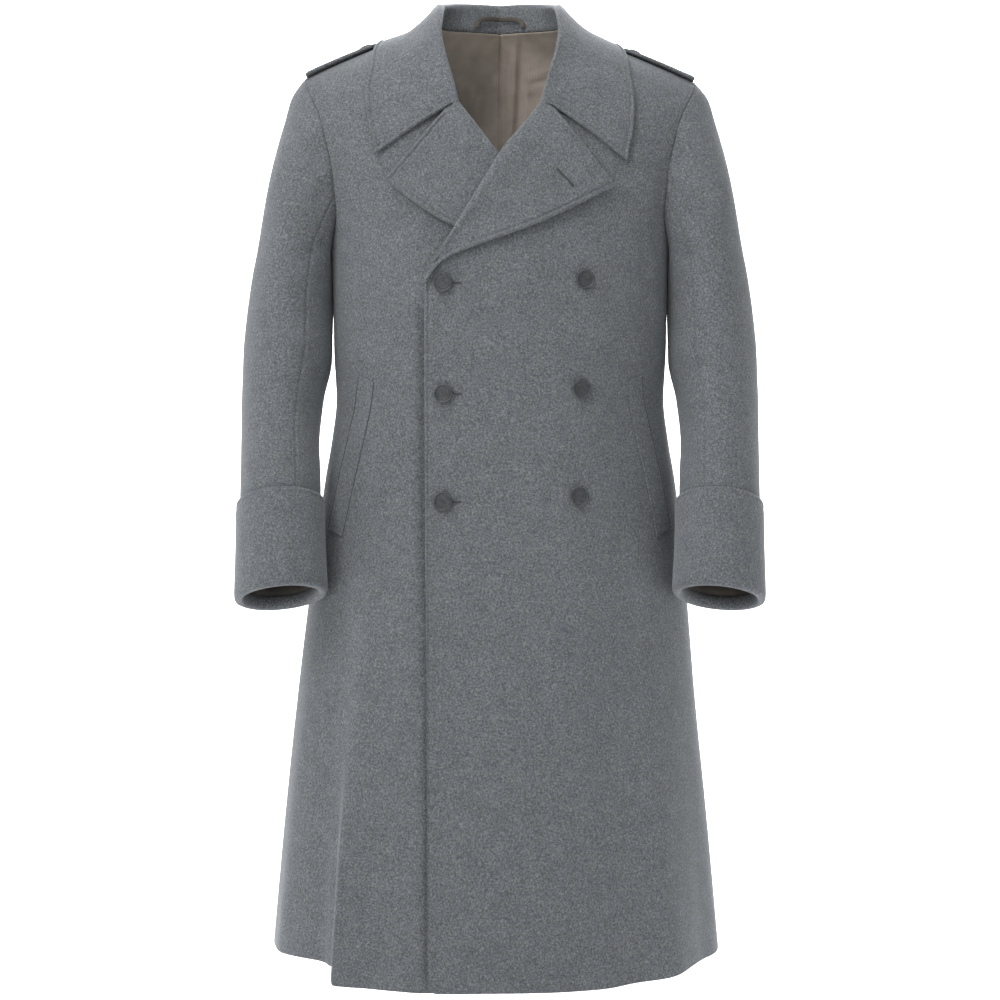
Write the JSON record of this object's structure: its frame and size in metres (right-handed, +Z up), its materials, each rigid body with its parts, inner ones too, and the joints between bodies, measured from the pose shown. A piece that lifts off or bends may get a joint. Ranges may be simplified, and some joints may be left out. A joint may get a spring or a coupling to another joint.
{
  "type": "military greatcoat",
  "caption": "double-breasted wool greatcoat with wide notch collar, shoulder straps, turn-back cuffs and slanted welt pockets, worn open at the neck on a hollow form",
  "frame": {"origin": "centre of the neck base, level with the side neck points, where the wearer carries the coat", "axes": "+Z up, the front faces -Y, +X is the wearer's left"},
  "size_m": [0.641, 0.4049, 1.2172],
  "materials": {
    "wool": "grey melange, milled wool with a short nap",
    "lining": "taupe twill lining with a soft sheen",
    "sleeve_lining": "dark brown lining",
    "button": "dark grey, satin, thin raised rim",
    "loop": "taupe woven band"
  },
  "bodies": {
    "root": {"front_left": "wool", "front_right": "wool", "back_left": "wool", "back_right": "wool", "topsleeve_left": "wool", "topsleeve_right": "wool", "undersleeve_left": "wool", "undersleeve_right": "wool", "cuff_left": "wool", "cuff_right": "wool", "lapel_left": "wool", "lapel_right": "wool", "welt_left": "wool", "welt_right": "wool", "shoulder_strap_left": "wool", "shoulder_strap_right": "wool", "collar": "wool", "lining_back": "lining", "sleeve_lining_left": "sleeve_lining", "sleeve_lining_right": "sleeve_lining", "button_1": "button", "button_2": "button", "button_3": "button", "button_4": "button", "button_5": "button", "button_6": "button", "strap_button_left": "button", "strap_button_right": "button", "hanger_loop": "loop"}
  },
  "joints": []
}
